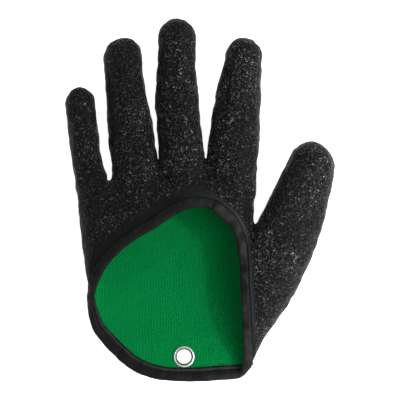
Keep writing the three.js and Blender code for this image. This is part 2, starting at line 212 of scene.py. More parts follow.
# The finished edge of the glove in plan, as shares of the palm's width and length: hem is the
# edge of the back of the hand, heel the edge of the palm where its heel is cut away
EDGE_LINE = np.array([
    # across, hem, heel
    [-0.6, 0.366, 0.384],
    [-0.49, 0.353, 0.378],
    [-0.455, 0.339, 0.373],
    [-0.442, 0.3, 0.373],
    [-0.43, 0.251, 0.376],
    [-0.409, 0.215, 0.414],
    [-0.38, 0.184, 0.461],
    [-0.346, 0.152, 0.513],
    [-0.305, 0.12, 0.556],
    [-0.254, 0.081, 0.597],
    [-0.198, 0.046, 0.634],
    [-0.131, 0.022, 0.669],
    [-0.053, 0.005, 0.706],
    [0.025, -0.002, 0.75],
    [0.092, -0.004, 0.781],
    [0.142, -0.004, 0.794],
    [0.187, -0.004, 0.797],
    [0.232, -0.002, 0.791],
    [0.277, 0.001, 0.773],
    [0.321, 0.003, 0.741],
    [0.355, 0.005, 0.709],
    [0.383, 0.006, 0.656],
    [0.399, 0.009, 0.571],
    [0.405, 0.011, 0.457],
    [0.413, 0.013, 0.321],
    [0.422, 0.016, 0.184],
    [0.429, 0.019, 0.1],
    [0.434, 0.024, 0.06],
    [0.44, 0.025, 0.032],
    [0.45, 0.02, 0.022],
    [0.47, 0.008, 0.008],
    [0.52, 0.0, 0.0],
])
HEM_TOP = 6.0
HEEL_BOTTOM = 16.0
EDGE_STEPS = 6


def smooth_step(low, high, value):
    """0 below low, 1 above high, and 3s^2 - 2s^3 of the share s between."""
    share = np.clip((value - low) / (high - low), 0.0, 1.0)
    return share * share * (3.0 - 2.0 * share)


def soft_min(a, b, width):
    """The smaller of a and b, rounded by a parabola where they differ by less than width."""
    overlap = np.maximum(width - np.abs(a - b), 0.0) / width
    return np.minimum(a, b) - overlap * overlap * width / 4.0


def column(rows, index, along, steps=241, evened_over=23):
    """One column of a section table at along: the straight lines between its rows, in fine steps
    that are evened out over their neighbours, so that no section shows as an edge."""
    fine = np.linspace(rows[0, 0], rows[-1, 0], steps)
    values = np.interp(fine, rows[:, 0], rows[:, index])
    window = np.hanning(evened_over) / np.hanning(evened_over).sum()
    padded = np.pad(values, evened_over // 2, mode="reflect", reflect_type="odd")
    return np.interp(along, fine, np.convolve(padded, window, mode="valid"))


def oval_distance(across, up, reach, height, power, end_share, end_length, least=0.05):
    """Rough distance to an oval tube with a round end: s = ((|x|/reach)^p + (|z|/height)^p)^(1/p),
    joined with how far the point is past the tube's end as sqrt(s^2 + e^2), less 1, and divided
    by the length of its gradient. least keeps s off zero on the tube's axis."""
    a = np.abs(across) / reach
    b = np.abs(up) / height
    s = np.maximum((a**power + b**power) ** (1.0 / power), least)
    slope = s ** (1.0 - power) * np.hypot(a ** (power - 1.0) / reach, b ** (power - 1.0) / height)
    whole = np.hypot(s, end_share)
    steep = np.hypot(s * slope, end_share / end_length) / whole
    return np.maximum((whole - 1.0) / np.maximum(steep, 1e-3), -np.minimum(reach, height))


def limb_place(x, y, limb):
    """How far a point is along a limb from its root, and across it: the plan turned by its lean."""
    lean = math.radians(limb["lean"])
    dx, dy = x - limb["root"][0], y - limb["root"][1]
    return dx * math.sin(lean) + dy * math.cos(lean), dx * math.cos(lean) - dy * math.sin(lean)


def limb_distance(x, y, z, limb, rows):
    """Rough distance to one finger or the thumb. Its tip is an oval dome, which starts where the
    length left is as long as the limb is half wide."""
    rows = np.array(rows)
    distance, across = limb_place(x, y, limb)
    tip_start = 1.0 - (rows[-1, 1] + rows[-1, 2]) / 2.0 * limb["width"] / limb["length"]
    along = np.clip(distance / limb["length"], 0.0, 1.0)
    left, right, rise, depth = (column(rows, index, along) for index in (1, 2, 3, 4))
    up = z - rise * limb["thickness"]
    reach = np.where(across < 0.0, left, right) * limb["width"]
    power = np.where(up > 0.0, *LIMB_POWERS)
    tip_length = (1.0 - tip_start) * limb["length"]
    past_tip = (distance - tip_start * limb["length"]) / tip_length
    past_root = -distance / ROOT_CAP
    end_share = np.maximum(np.maximum(past_tip, past_root), 0.0)
    end_length = np.where(past_tip > past_root, tip_length, ROOT_CAP)
    return oval_distance(across, up, reach, depth * limb["thickness"], power, end_share, end_length)


def palm_distance(x, y, z):
    """Rough distance to the palm, an oval tube along Y whose front is closed by a short dome."""
    along = np.clip(y / PALM["length"], PALM_SECTIONS[0, 0], PALM["front"])
    left, right, top = (column(PALM_SECTIONS, index, along) for index in (1, 2, 3))
    height = top * PALM["thickness"]
    middle = height * (0.5 - PALM["sink"] / 2.0)
    up = z - middle
    half_height = np.where(up > 0.0, height - middle, height / 2.0 + height * PALM["sink"] / 2.0)
    power = np.where(up > 0.0, *PALM_POWERS)
    last = PALM_SECTIONS[-1, 0]
    front_length = (PALM["front"] - last) * PALM["length"]
    past_front = np.maximum((y - last * PALM["length"]) / front_length, 0.0)
    across = x - (left + right) / 2.0 * PALM["width"]
    reach = (right - left) / 2.0 * PALM["width"]
    return oval_distance(across, up, reach, half_height, power, past_front, front_length)


# Dents along a limb: lengthwise grooves and cross creases, where the latex buckled as it set.
# across and along are in shares of the limb's width and length, deep and wide in millimetres.
DENTS = {
    "little": [
        # along from, along to, across from, across to, wide, deep
        [0.45, 0.98, 0.26, 0.2, 2.2, 0.5],
        [0.3, 0.62, -0.3, -0.34, 2.0, 0.45],
    ],
    "ring": [
        [0.6, 0.9, -0.42, -0.4, 1.8, 0.8],
        [0.3, 0.62, 0.36, 0.4, 2.4, 0.5],
        [0.2, 0.5, -0.4, -0.42, 2.4, 0.4],
    ],
    "middle": [
        [0.28, 0.6, -0.42, -0.44, 2.2, 0.6],
        [0.5, 0.9, 0.34, 0.3, 2.0, 0.35],
    ],
    "index": [
        [0.5, 0.9, -0.36, -0.26, 1.9, 0.7],
        [0.25, 0.55, -0.44, -0.42, 2.4, 0.5],
    ],
    "thumb": [
        [0.35, 0.7, -0.12, -0.02, 3.2, 0.45],
        [0.55, 0.9, 0.36, 0.3, 2.6, 0.4],
    ],
}
DENT_FADE = 0.08  # share of the limb's length over which a dent fades in and out
DENTS_ABOVE = (4.0, 14.0)
# The coat is flat up to the first distance from the edge, and fully crinkled from the second,
# which is given for two places across the palm
FLAT_BESIDE_EDGE = 6.6
CRINKLE_X = (15.0, 38.0)
CRINKLE_FROM = (17.0, 9.5)
# Lumps of the coat: each is a wave across the whole hand in its own direction. They grow with
# the distance from the edge and with the height above the floor.
LUMPS_FROM = (6.5, 16.0)
LUMPS_ABOVE = (0.0, 5.0)
LUMP_WAVES = {"count": 46, "longest": 15.0, "shortest": 3.1, "height": 0.052, "fall": 0.3, "seed": 7}


def random_length(rng, waves):
    """A wave length between the shortest and the longest, whose logarithm is even."""
    return math.exp(rng.uniform(math.log(waves["shortest"]), math.log(waves["longest"])))


def lumps(x, y, z):
    """The sum of many weak sine waves in random directions, whose height falls with their length."""
    rng = np.random.default_rng(LUMP_WAVES["seed"])
    total = np.zeros_like(x)
    for _ in range(LUMP_WAVES["count"]):
        length = random_length(rng, LUMP_WAVES)
        direction = rng.normal(size=3)
        direction *= 2.0 * math.pi / length / np.linalg.norm(direction)
        phase = rng.uniform(0.0, 2.0 * math.pi)
        height = LUMP_WAVES["height"] * (length / LUMP_WAVES["longest"]) ** LUMP_WAVES["fall"]
        total += height * np.sin(x * direction[0] + y * direction[1] + z * direction[2] + phase)
    return total


def dents(x, y, z):
    """Each groove is a bell across its line, faded out at both of its ends, on the palm's side."""
    total = np.zeros_like(x)
    for name, rows in DENTS.items():
        limb = LIMBS[name][0]
        along, across = limb_place(x, y, limb)
        along = along / limb["length"]
        for start, end, across_start, across_end, wide, deep in rows:
            share = np.clip((along - start) / (end - start), 0.0, 1.0)
            line = (across_start + (across_end - across_start) * share) * limb["width"]
            fade_in = smooth_step(start, start + DENT_FADE, along)
            fade_out = 1.0 - smooth_step(end - DENT_FADE, end, along)
            bell = np.exp(-(((across - line) / wide) ** 2))
            total += deep * bell * (fade_in * fade_out) * smooth_step(*DENTS_ABOVE, z)
    return total


def hand_distance(points, detail=True):
    """Rough distance to the outside of the glove, below zero inside: the palm and the limbs
    softly joined, with the coat's dents, and flattened where it lies on the table."""
    x, y, z = points.T
    fingers = None
    for name in ("little", "ring", "middle", "index"):
        one = limb_distance(x, y, z, *LIMBS[name])
        fingers = one if fingers is None else soft_min(fingers, one, BLEND["fingers"])
    whole = soft_min(palm_distance(x, y, z), fingers, BLEND["palm"])
    whole = soft_min(whole, limb_distance(x, y, z, *LIMBS["thumb"]), BLEND["thumb"])
    if detail:
        whole = whole + dents(x, y, z)
    lift = HEM_LIFT * np.interp(y / PALM["length"], PALM_SECTIONS[:, 0], PALM_SECTIONS[:, 4])
    return -soft_min(-whole, z - lift, BLEND["floor"])


def gradient(field, points, step=0.05):
    """The field's slope along each axis, from the difference of two points a step apart."""
    shifts = np.eye(3) * step
    slopes = [(field(points + shift) - field(points - shift)) / (2.0 * step) for shift in shifts]
    return np.stack(slopes, axis=1)


def onto_skin(points, rounds=3, least_slope=0.05, longest_step=1.5):
    """Moves points straight onto the skin: each round steps by the distance over the slope."""
    for _ in range(rounds):
        slope = gradient(hand_distance, points)
        size = np.maximum((slope**2).sum(axis=1), least_slope)
        step = np.clip(hand_distance(points) / size, -longest_step, longest_step)
        points = points - slope * step[:, None]
    return points


def unit(vectors):
    """The vectors brought to length one."""
    return vectors / np.linalg.norm(vectors, axis=-1)[..., None]


def normals(points):
    """The way straight out of the skin, which is the field's slope."""
    return unit(gradient(hand_distance, points))


def skin(low, high, cell, slab_size=16):
    """The hand's outside as a net of four-sided faces: the field is sampled on a grid of cells,
    each cell that the skin crosses gets one point, at the mean of where it crosses the cell's
    edges, and each grid edge that is crossed gets the face between its four cells."""
    axes = [np.arange(a, b + cell, cell) for a, b in zip(low, high)]
    shape = tuple(len(axis) for axis in axes)
    value = np.empty(shape)
    for start in range(0, shape[0], slab_size):
        slab = slice(start, start + slab_size)
        block = np.stack(np.meshgrid(axes[0][slab], axes[1], axes[2], indexing="ij"), axis=-1)
        value[slab] = hand_distance(block.reshape(-1, 3), detail=False).reshape(block.shape[:3])
    inside = value < 0.0
    corners = np.array([(i, j, k) for i in (0, 1) for j in (0, 1) for k in (0, 1)])
    size = tuple(n - 1 for n in shape)
    nx, ny, nz = size
    count = sum(inside[i : i + nx, j : j + ny, k : k + nz].astype(int) for i, j, k in corners)
    cells = np.argwhere((count > 0) & (count < len(corners)))
    number = np.full(size, -1)
    number[tuple(cells.T)] = np.arange(len(cells))
    total = np.zeros((len(cells), 3))
    crossings = np.zeros(len(cells))
    for axis in range(3):
        for start in corners[corners[:, axis] == 0]:
            end = start.copy()
            end[axis] = 1
            a = value[tuple((cells + start).T)]
            b = value[tuple((cells + end).T)]
            crossed = (a < 0.0) != (b < 0.0)
            share = np.where(crossed, a / np.where(crossed, a - b, 1.0), 0.0)
            place = cells + start + share[:, None] * (end - start)
            total += np.where(crossed[:, None], place, 0.0)
            crossings += crossed
    points = np.array(low) + total / crossings[:, None] * cell
    faces = []
    for axis in range(3):
        u, v = [other for other in range(3) if other != axis]
        here = inside.take(range(shape[axis] - 1), axis)
        there = inside.take(range(1, shape[axis]), axis)
        edges = np.argwhere(here != there)
        within = (edges[:, [u, v]] > 0) & (edges[:, [u, v]] < (size[u], size[v]))
        edges = edges[within.all(axis=1)]
        ring = []
        for back_u, back_v in ((1, 1), (0, 1), (0, 0), (1, 0)):
            around = edges.copy()
            around[:, u] -= back_u
            around[:, v] -= back_v
            ring.append(number[tuple(around.T)])
        quads = np.stack(ring, axis=1)
        outward = here[tuple(edges.T)] == (axis != 1)
        faces.append(np.where(outward[:, None], quads, quads[:, ::-1]))
    return points, np.concatenate(faces)


def edge_curve(index):
    """The edge line through its rows, as a chain of cubics whose slope at a row is that of the
    line between its two neighbours."""
    knots = np.stack([EDGE_LINE[:, 0] * PALM["width"], EDGE_LINE[:, index] * PALM["length"]], axis=1)
    slopes = np.gradient(knots, axis=0)
    share = np.linspace(0.0, 1.0, EDGE_STEPS, endpoint=False)[:, None, None]
    a, b, m, n = knots[:-1], knots[1:], slopes[:-1], slopes[1:]
    h = (2 * share**3 - 3 * share**2 + 1) * a + (share**3 - 2 * share**2 + share) * m
    h = h + (3 * share**2 - 2 * share**3) * b + (share**3 - share**2) * n
    return np.concatenate([h.transpose(1, 0, 2).reshape(-1, 2), knots[-1:]])


HEM_CURVE = edge_curve(1)
HEEL_CURVE = edge_curve(2)


def from_edge(points, batch_size=4000):
    """How far a point is inside the edge in plan, below zero beyond it: the distance to the
    nearest stretch of the edge line. The line turns evenly from the hem's low down into the
    heel's higher up."""
    result = np.empty(len(points))
    for start in range(0, len(points), batch_size):
        part = points[start : start + batch_size]
        mix = np.clip((part[:, 2] - HEM_TOP) / (HEEL_BOTTOM - HEM_TOP), 0.0, 1.0)[:, None, None]
        line = HEM_CURVE + mix * (HEEL_CURVE - HEM_CURVE)
        a, b = line[:, :-1], line[:, 1:]
        along = b - a
        away = part[:, None, :2] - a
        share = np.clip((away * along).sum(axis=2) / (along**2).sum(axis=2), 0.0, 1.0)
        rest = away - share[:, :, None] * along
        far = np.hypot(rest[:, :, 0], rest[:, :, 1])
        nearest = far.argmin(axis=1)
        row = np.arange(len(part))
        (along_x, along_y), (away_x, away_y) = along[row, nearest].T, away[row, nearest].T
        side = along_x * away_y - along_y * away_x
        result[start : start + batch_size] = np.where(side < 0.0, -1.0, 1.0) * far[row, nearest]
    return result


# The hand frame's origin in millimetres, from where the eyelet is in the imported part
low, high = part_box("eyelet")
eyelet_middle = np.array([(low[0] + high[0]) / 2, (low[1] + high[1]) / 2]) * 1000.0
ORIGIN = np.append(eyelet_middle - EYELET_PLACE, 0.0)


def mesh_piece(name, points, faces, material, uv=None, values=None, smooth=True):
    """A piece from points in the hand frame and an array of faces with one corner count."""
    mesh = bpy.data.meshes.new(name)
    faces = np.asarray(faces)
    mesh.vertices.add(len(points))
    mesh.vertices.foreach_set("co", ((points + ORIGIN) / 1000.0).astype(np.float32).ravel())
    mesh.loops.add(faces.size)
    mesh.loops.foreach_set("vertex_index", faces.ravel().astype(np.int32))
    mesh.polygons.add(len(faces))
    mesh.polygons.foreach_set("loop_start", np.arange(0, faces.size, faces.shape[1], dtype=np.int32))
    mesh.polygons.foreach_set("use_smooth", np.full(len(faces), smooth))
    if uv is not None:
        layer = mesh.uv_layers.new(name="uv")
        layer.data.foreach_set("uv", uv[faces.ravel()].astype(np.float32).ravel())
    for key, numbers in (values or {}).items():
        mesh.attributes.new(key, "FLOAT", "POINT").data.foreach_set("value", numbers.astype(np.float32))
    mesh.update()
    mesh.validate()
    mesh.materials.append(material)
    piece = bpy.data.objects.new(name, mesh)
    bpy.context.collection.objects.link(piece)
    return piece


def wall(piece, thickness, offset):
    """Gives a sheet its thickness. An offset of -1 grows it inwards, 1 outwards, 0 both ways."""
    modifier = piece.modifiers.new("wall", "SOLIDIFY")
    modifier.thickness = thickness / 1000.0
    modifier.offset = offset
    modifier.use_even_offset = False


class Nodes:
    """Short forms for building the nodes of one material."""

    def __init__(self, tree):
        self.tree = tree
        self.shader = tree.nodes["Principled BSDF"]

    def feed(self, name, value):
        """Links a value to one of the shader's inputs."""
        self.tree.links.new(value, self.shader.inputs[name])

    def add(self, kind, values=None, **settings):
        """A node with its settings. A value that is another node's socket is linked."""
        node = self.tree.nodes.new(kind)
        for key, value in settings.items():
            setattr(node, key, value)
        for key, value in (values or {}).items():
            if isinstance(value, bpy.types.NodeSocket):
                self.tree.links.new(value, node.inputs[key])
            else:
                node.inputs[key].default_value = value
        return node

    def math(self, operation, a, b=0.0, clamp=False):
        """One sum, product or the like of two values."""
        return self.add("ShaderNodeMath", {0: a, 1: b}, operation=operation, use_clamp=clamp).outputs[0]

    def place(self):
        """The place on the object, in metres."""
        return self.add("ShaderNodeTexCoord").outputs["Object"]

    def split(self, place):
        """The x, y and z of a place."""
        return self.add("ShaderNodeSeparateXYZ", {"Vector": place}).outputs

    def noise(self, place, scale, detail=1.0, distortion=0.0, output=0):
        """Noise over a place, with scale features to the metre."""
        values = {"Vector": place, "Scale": scale, "Detail": detail, "Distortion": distortion}
        return self.add("ShaderNodeTexNoise", values).outputs[output]

    def moved(self, place, scale, share):
        """A place moved by a share of a noise with scale features to the metre."""
        values = {0: self.noise(place, scale, output="Color"), "Scale": share}
        shift = self.add("ShaderNodeVectorMath", values, operation="SCALE").outputs[0]
        return self.add("ShaderNodeVectorMath", {0: place, 1: shift}, operation="ADD").outputs[0]

    def bump(self, height, strength, distance):
        """The normal of a surface that is raised by height times distance, in metres."""
        values = {"Height": height, "Strength": strength, "Distance": distance}
        return self.add("ShaderNodeBump", values).outputs["Normal"]

    def between(self, value, low, high, to_low=0.0, to_high=1.0):
        """A soft step: to_low where value is under low, to_high where it is over high."""
        values = {0: value, 1: low, 2: high, 3: to_low, 4: to_high}
        return self.add("ShaderNodeMapRange", values, interpolation_type="SMOOTHSTEP").outputs[0]

    def mix(self, share, a, b):
        """Colour a where share is 0, colour b where it is 1."""
        a, b = ((*colour, 1.0) if isinstance(colour, tuple) else colour for colour in (a, b))
        return self.add("ShaderNodeMix", {0: share, 6: a, 7: b}, data_type="RGBA").outputs[2]


def new_material(name, roughness, specular, metallic=0.0):
    """A material with its plain gloss, and the short forms for its nodes."""
    material = bpy.data.materials.new(name)
    material.use_nodes = True
    nodes = Nodes(material.node_tree)
    nodes.shader.inputs["Roughness"].default_value = roughness
    nodes.shader.inputs["Specular IOR Level"].default_value = specular
    nodes.shader.inputs["Metallic"].default_value = metallic
    return material, nodes


# The crinkle is a layer of wide soft ridges under one of thin sharp curls. Only some curls carry painted
# glints, grey in the base colour, and a few painted glints are bright. The crinkle fades out beside the
# bound edge, where the coat was pressed flat for sewing.
SHADED_VALLEY_BLACK = (0.0018, 0.0018, 0.0019)
LIT_VALLEY_PALE = (0.0056, 0.0057, 0.006)
RIDGE_BLACK = (0.0085, 0.0085, 0.0088)
PAINTED_GLINT_GREY = (0.17, 0.174, 0.178)
PAINTED_GLINT_BRIGHT = (0.52, 0.53, 0.54)
PRESSED_BLACK = (0.0055, 0.0058, 0.006)
PRESSED_LIT_PALE = (0.03, 0.032, 0.034)
CRINKLE_RELIEF = 0.0005
# Where the coat's valleys and its pressed edge are painted paler, as lit by the main lamp on the thumb's
# side, in metres across and along
LIT_VALLEY_X = (0.015, 0.055)
PRESSED_LIT_X = (-0.022, 0.035)
PRESSED_LIT_Y = (-0.1, -0.075)
latex, nodes = new_material("crinkled_latex", 0.5, 0.07)
place = nodes.place()
split = nodes.split(place)
crinkled = nodes.add("ShaderNodeAttribute", attribute_name="crinkled").outputs["Fac"]

from_middle = nodes.math("SUBTRACT", nodes.noise(place, 260.0, distortion=0.8), 0.5)
from_middle = nodes.math("MULTIPLY", nodes.math("ABSOLUTE", from_middle), 5.0)
wide_ridges = nodes.math("SUBTRACT", 1.0, from_middle, clamp=True)
curl_cells = {"Vector": nodes.moved(place, 420.0, 0.003), "Scale": 600.0}
from_curl = nodes.add("ShaderNodeTexVoronoi", curl_cells, feature="DISTANCE_TO_EDGE").outputs[0]
curls = nodes.math("SUBTRACT", 1.0, nodes.math("MULTIPLY", from_curl, 9.0), clamp=True)

broken = nodes.between(nodes.noise(place, 700.0), 0.53, 0.6)
grain = nodes.between(nodes.noise(place, 1500.0), 0.64, 0.74)
patches = nodes.between(nodes.noise(place, 48.0, 2.0), 0.38, 0.64, 0.45, 1.0)
# Painted glints thin out towards the little finger and grow towards the thumb's side, where the main lamp
# lights the coat.
patches = nodes.math("MULTIPLY", patches, nodes.between(split[0], -0.085, 0.06, 0.5, 1.05))
glints = nodes.math("MAXIMUM", nodes.math("MULTIPLY", curls, broken), grain)
glints = nodes.math("MULTIPLY", glints, nodes.math("MULTIPLY", patches, crinkled))

crinkle = nodes.math("MULTIPLY", curls, 0.5)
crinkle = nodes.math("ADD", nodes.math("MULTIPLY", wide_ridges, 0.4), crinkle)
relief = nodes.math("MULTIPLY", crinkle, nodes.between(crinkled, 0.0, 1.0, 0.03, 1.0))
nodes.feed("Normal", nodes.bump(relief, 1.0, CRINKLE_RELIEF))

# The valleys are painted darker than the ridges as the shade in them, and paler towards the thumb's side
# as the light of the main lamp.
shaded_valley = nodes.mix(nodes.between(split[0], *LIT_VALLEY_X), SHADED_VALLEY_BLACK, LIT_VALLEY_PALE)
tone = nodes.mix(nodes.between(crinkle, 0.1, 0.8), shaded_valley, RIDGE_BLACK)
# Painted highlights: the curls that would catch the lamps get a grey base colour, and a few get a bright
# one.
shine = nodes.mix(nodes.between(nodes.noise(place, 360.0), 0.58, 0.66), PAINTED_GLINT_GREY, PAINTED_GLINT_BRIGHT)
tone = nodes.mix(glints, tone, shine)
# The pressed edge is painted paler on the thumb's side and away from the hem, as the light of the main
# lamp falls there.
lamp_lit_share = nodes.between(split[1], *PRESSED_LIT_Y)
lamp_lit_share = nodes.math("MULTIPLY", nodes.between(split[0], *PRESSED_LIT_X), lamp_lit_share)
pressed = nodes.mix(lamp_lit_share, PRESSED_BLACK, PRESSED_LIT_PALE)
nodes.feed("Base Color", nodes.mix(crinkled, pressed, tone))
nodes.feed("Roughness", nodes.between(glints, 0.0, 0.8, 0.5, 0.22))
nodes.shader.inputs["Sheen Weight"].default_value = 0.09
nodes.shader.inputs["Sheen Roughness"].default_value = 0.2

skin_points, skin_faces = skin(SKIN_LOW, SKIN_HIGH, SKIN_CELL)
skin_points = onto_skin(skin_points)
skin_edge = from_edge(skin_points)
whole_points, whole_faces, whole_edge = skin_points, skin_faces, skin_edge
kept = (skin_edge[skin_faces] > CUT_UNDER_FOLD).all(axis=1)
in_eyelet = np.hypot(*(skin_points[:, :2] - EYELET_PLACE).T) < EYELET_HOLE
in_eyelet &= skin_points[:, 2] < BACK_BELOW
kept &= ~in_eyelet[skin_faces].any(axis=1)
skin_faces = skin_faces[kept]
used, skin_faces = np.unique(skin_faces, return_inverse=True)
skin_faces = skin_faces.reshape(-1, 4)
skin_points, skin_edge = skin_points[used], skin_edge[used]
skin_normals = normals(skin_points)
lump_height = lumps(*skin_points.T) * smooth_step(*LUMPS_ABOVE, skin_points[:, 2])
lump_height *= smooth_step(*LUMPS_FROM, skin_edge)
skin_points = skin_points + skin_normals * lump_height[:, None]
crinkled_from = np.interp(skin_points[:, 0], CRINKLE_X, CRINKLE_FROM)
crinkled = smooth_step(FLAT_BESIDE_EDGE, crinkled_from, skin_edge)
latex_skin = mesh_piece("latex_skin", skin_points, skin_faces, latex, values={"crinkled": crinkled})
wall(latex_skin, LATEX_WALL, -1.0)
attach(latex_skin, "root")
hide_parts("latex_shell")


# The liner: a seamless green glove knitted of fine yarn, to which the latex is bonded. Only its
# inside shows, through the cut-away heel: fine loops in columns along the hand, each set half a
# loop beside the next.
KNIT_COLUMN = 1.75
KNIT_ROW = 1.45
KNIT_RELIEF = 0.0005
LOOP_GREEN = (0.0013, 0.275, 0.063)
GAP_DARK_GREEN = (0.0006, 0.05, 0.012)
GAP_GREEN = (0.0007, 0.072, 0.0165)
# Creases of the liner: each row is a soft ridge between two points of the plan
CREASES = np.array([
    # from x, from y, to x, to y, wide, high
    [-10.0, 30.0, -8.0, 11.0, 1.3, 0.35],
    [-5.0, 33.0, -5.5, 12.0, 1.5, 0.3],
    [33.0, 11.0, 38.0, 30.0, 1.4, 0.3],
    [36.5, 11.0, 42.5, 27.0, 1.2, 0.35],
    [40.0, 12.0, 46.0, 26.0, 1.1, 0.3],
    [28.0, 11.0, 30.5, 26.0, 1.6, 0.25],
    [-40.0, 52.0, -30.0, 46.0, 1.6, 0.25],
])
CREASE_FADE_IN = 0.3
CREASE_FADE_OUT = 0.6


def creases(points):
    """The height of all creases: a bell across each line, which fades out at both of its ends."""
    total = np.zeros(len(points))
    for x0, y0, x1, y1, wide, high in CREASES:
        along = np.array([x1 - x0, y1 - y0])
        length = np.linalg.norm(along)
        rest = points[:, :2] - (x0, y0)
        share = rest @ along / length**2
        across = (rest[:, 0] * along[1] - rest[:, 1] * along[0]) / length
        fade = smooth_step(0.0, CREASE_FADE_IN, share)
        fade *= 1.0 - smooth_step(CREASE_FADE_OUT, 1.0, share)
        total += high * fade * np.exp(-((across / wide) ** 2)) * (points[:, 2] < BACK_BELOW)
    return total


green, nodes = new_material("green_knit", 0.9, 0.03)
place = nodes.moved(nodes.place(), 28.0, 0.007)
split = nodes.split(place)
columns = nodes.math("SINE", nodes.math("MULTIPLY", split[0], 2.0 * math.pi * 1000.0 / KNIT_COLUMN))
rows_of_loops = nodes.math("SINE", nodes.math("MULTIPLY", split[1], 2.0 * math.pi * 1000.0 / KNIT_ROW))
staggered = nodes.math("MULTIPLY", nodes.math("MULTIPLY", columns, rows_of_loops), 0.42)
loops = nodes.math("ADD", staggered, nodes.math("MULTIPLY", columns, 0.1))
fuzz = nodes.noise(place, 1300.0, 2.0)
relief = nodes.math("ADD", nodes.math("ADD", loops, 0.25), nodes.math("MULTIPLY", fuzz, 0.6))
nodes.feed("Normal", nodes.bump(relief, 0.8, KNIT_RELIEF))
gaps = nodes.mix(nodes.noise(place, 60.0, 2.0), GAP_DARK_GREEN, GAP_GREEN)
nodes.feed("Base Color", nodes.mix(nodes.between(relief, 0.0, 1.0), gaps, LOOP_GREEN))

depth = LATEX_WALL + LAYER_GAP + creases(skin_points)
liner_points = skin_points - skin_normals * depth[:, None]
knit_lining = mesh_piece("knit_lining", liner_points, skin_faces, green)
wall(knit_lining, LINER_WALL, -1.0)
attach(knit_lining, "root")
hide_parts("knit_liner")


# The binding: one strip of black woven tape, folded over the raw edge of latex and liner and
# sewn through. It runs round the whole opening, and its end laps over its start at the top of the
# arch. Its path is found on the skin, and each cross section is laid along the skin from there.
TAPE_THICKNESS = 0.8
TAPE_OUTER_WIDTH = 6.4
TAPE_INNER_WIDTH = 7.4
TAPE_GAP = 0.3
TAPE_STEP = 1.0
FOLD_REACH = 1.8  # how far the fold bulges out
# The inner leaf is wider along the hem of the back: by how much, at places across the palm, and
# the heights between which that fades out
HEM_LEAF_X = (-50.0, -41.0, -22.0, 0.0, 30.0)
HEM_LEAF_EXTRA = (0.4, 1.6, 1.8, 1.3, 2.0)
HEM_LEAF_Z = (8.0, 14.0)
# The lap: where it is, how far before the tape's start it rises, and how its end sinks
LAP_PLACE = (36.0, 103.0)
LAP_ABOVE = 12.0
LAP_LENGTH = 11.0
LAP_RISE = (9.0, 3.0)
LAP_AIR = 0.05
LAP_SINK = 0.6
LAP_SINK_LENGTH = 4.0
# The seam pulls a groove into the tape, and the woven margins are thinner
SEAM_PLACE = 5.5
SEAM_WIDTH = 0.45
SEAM_DIP = 0.4
MARGIN_WIDTH = 0.9
MARGIN_DIP = 0.25
# Puckers are weaker at the fold, where the tape is pulled tight
PUCKERS = {"count": 26, "longest": 30.0, "shortest": 3.4, "height": 0.11, "lowest": -0.25, "seed": 21}
FOLD_TIGHT = 0.7
FOLD_TIGHT_WIDTH = 2.2


def rim_walk(points, faces, level):
    """The closed line on a net of four-sided faces along which level is zero. Each face that the
    line crosses links two of its edges, and the walk goes from link to link."""
    edges = np.stack([faces, np.roll(faces, -1, axis=1)], axis=2)
    crossed = (level[edges[:, :, 0]] < 0.0) != (level[edges[:, :, 1]] < 0.0)
    ends = np.sort(edges[crossed], axis=1)
    names, links = np.unique(ends[:, 0] * len(points) + ends[:, 1], return_inverse=True)
    a, b = names // len(points), names % len(points)
    share = (level[a] / (level[a] - level[b]))[:, None]
    crossings = points[a] + share * (points[b] - points[a])
    beside = [[] for _ in names]
    for one, other in links.reshape(-1, 2):
        beside[one].append(other)
        beside[other].append(one)
    left = set(range(len(names)))
    longest = []
    while left:
        here = left.pop()
        walk = [here]
        while here is not None:
            here = next((other for other in beside[here] if other in left), None)
            if here is not None:
                left.remove(here)
                walk.append(here)
        longest = max(longest, walk, key=len)
    return crossings[longest]


def length_to(line):
    """The length of a line from its start to each of its points."""
    return np.concatenate([[0.0], np.cumsum(np.linalg.norm(np.diff(line, axis=0), axis=1))])


def resample(loop, step):
    """A closed line through the same places, with its points an even step apart."""
    closed = np.concatenate([loop, loop[:1]])
    length = length_to(closed)
    places = np.linspace(0.0, length[-1], int(round(length[-1] / step)), endpoint=False)
    return np.stack([np.interp(places, length, closed[:, axis]) for axis in range(3)], axis=1)


def evened(loop, rounds, share=0.25):
    """Each round moves every point of a closed line towards the middle of its neighbours."""
    for _ in range(rounds):
        loop = loop + share * (np.roll(loop, 1, axis=0) + np.roll(loop, -1, axis=0) - 2.0 * loop)
    return loop


def puckers(along, across):
    """Small uneven waves of a sewn tape, mainly across it: a sum of sines of random length."""
    rng = np.random.default_rng(PUCKERS["seed"])
    total = np.zeros(np.broadcast(along, across).shape)
    for _ in range(PUCKERS["count"]):
        length = random_length(rng, PUCKERS)
        turn = rng.normal(scale=0.5)
        height = PUCKERS["height"] * math.sqrt(length / PUCKERS["longest"])
        wave = 2.0 * math.pi / length * (along + turn * across)
        total += height * np.sin(wave + rng.uniform(0.0, 2.0 * math.pi))
    return total


# The finished edge on the skin, which starts where the tape does
rim = evened(resample(rim_walk(whole_points, whole_faces, whole_edge), TAPE_STEP), rounds=6)
for _ in range(3):
    rim = onto_skin(rim, rounds=1)
    slope = gradient(from_edge, rim, step=0.2)
    slope[:, 2] = 0.0
    least_steepness = 0.3
    steepness = np.maximum((slope**2).sum(axis=1), least_steepness)
    rim = rim - slope * (from_edge(rim) / steepness)[:, None]
rim = onto_skin(evened(resample(rim, TAPE_STEP), rounds=4), rounds=2)
from_lap = np.hypot(rim[:, 0] - LAP_PLACE[0], rim[:, 1] - LAP_PLACE[1])
from_lap[rim[:, 2] < LAP_ABOVE] = np.inf
rim = np.roll(rim, -np.argmin(from_lap), axis=0)

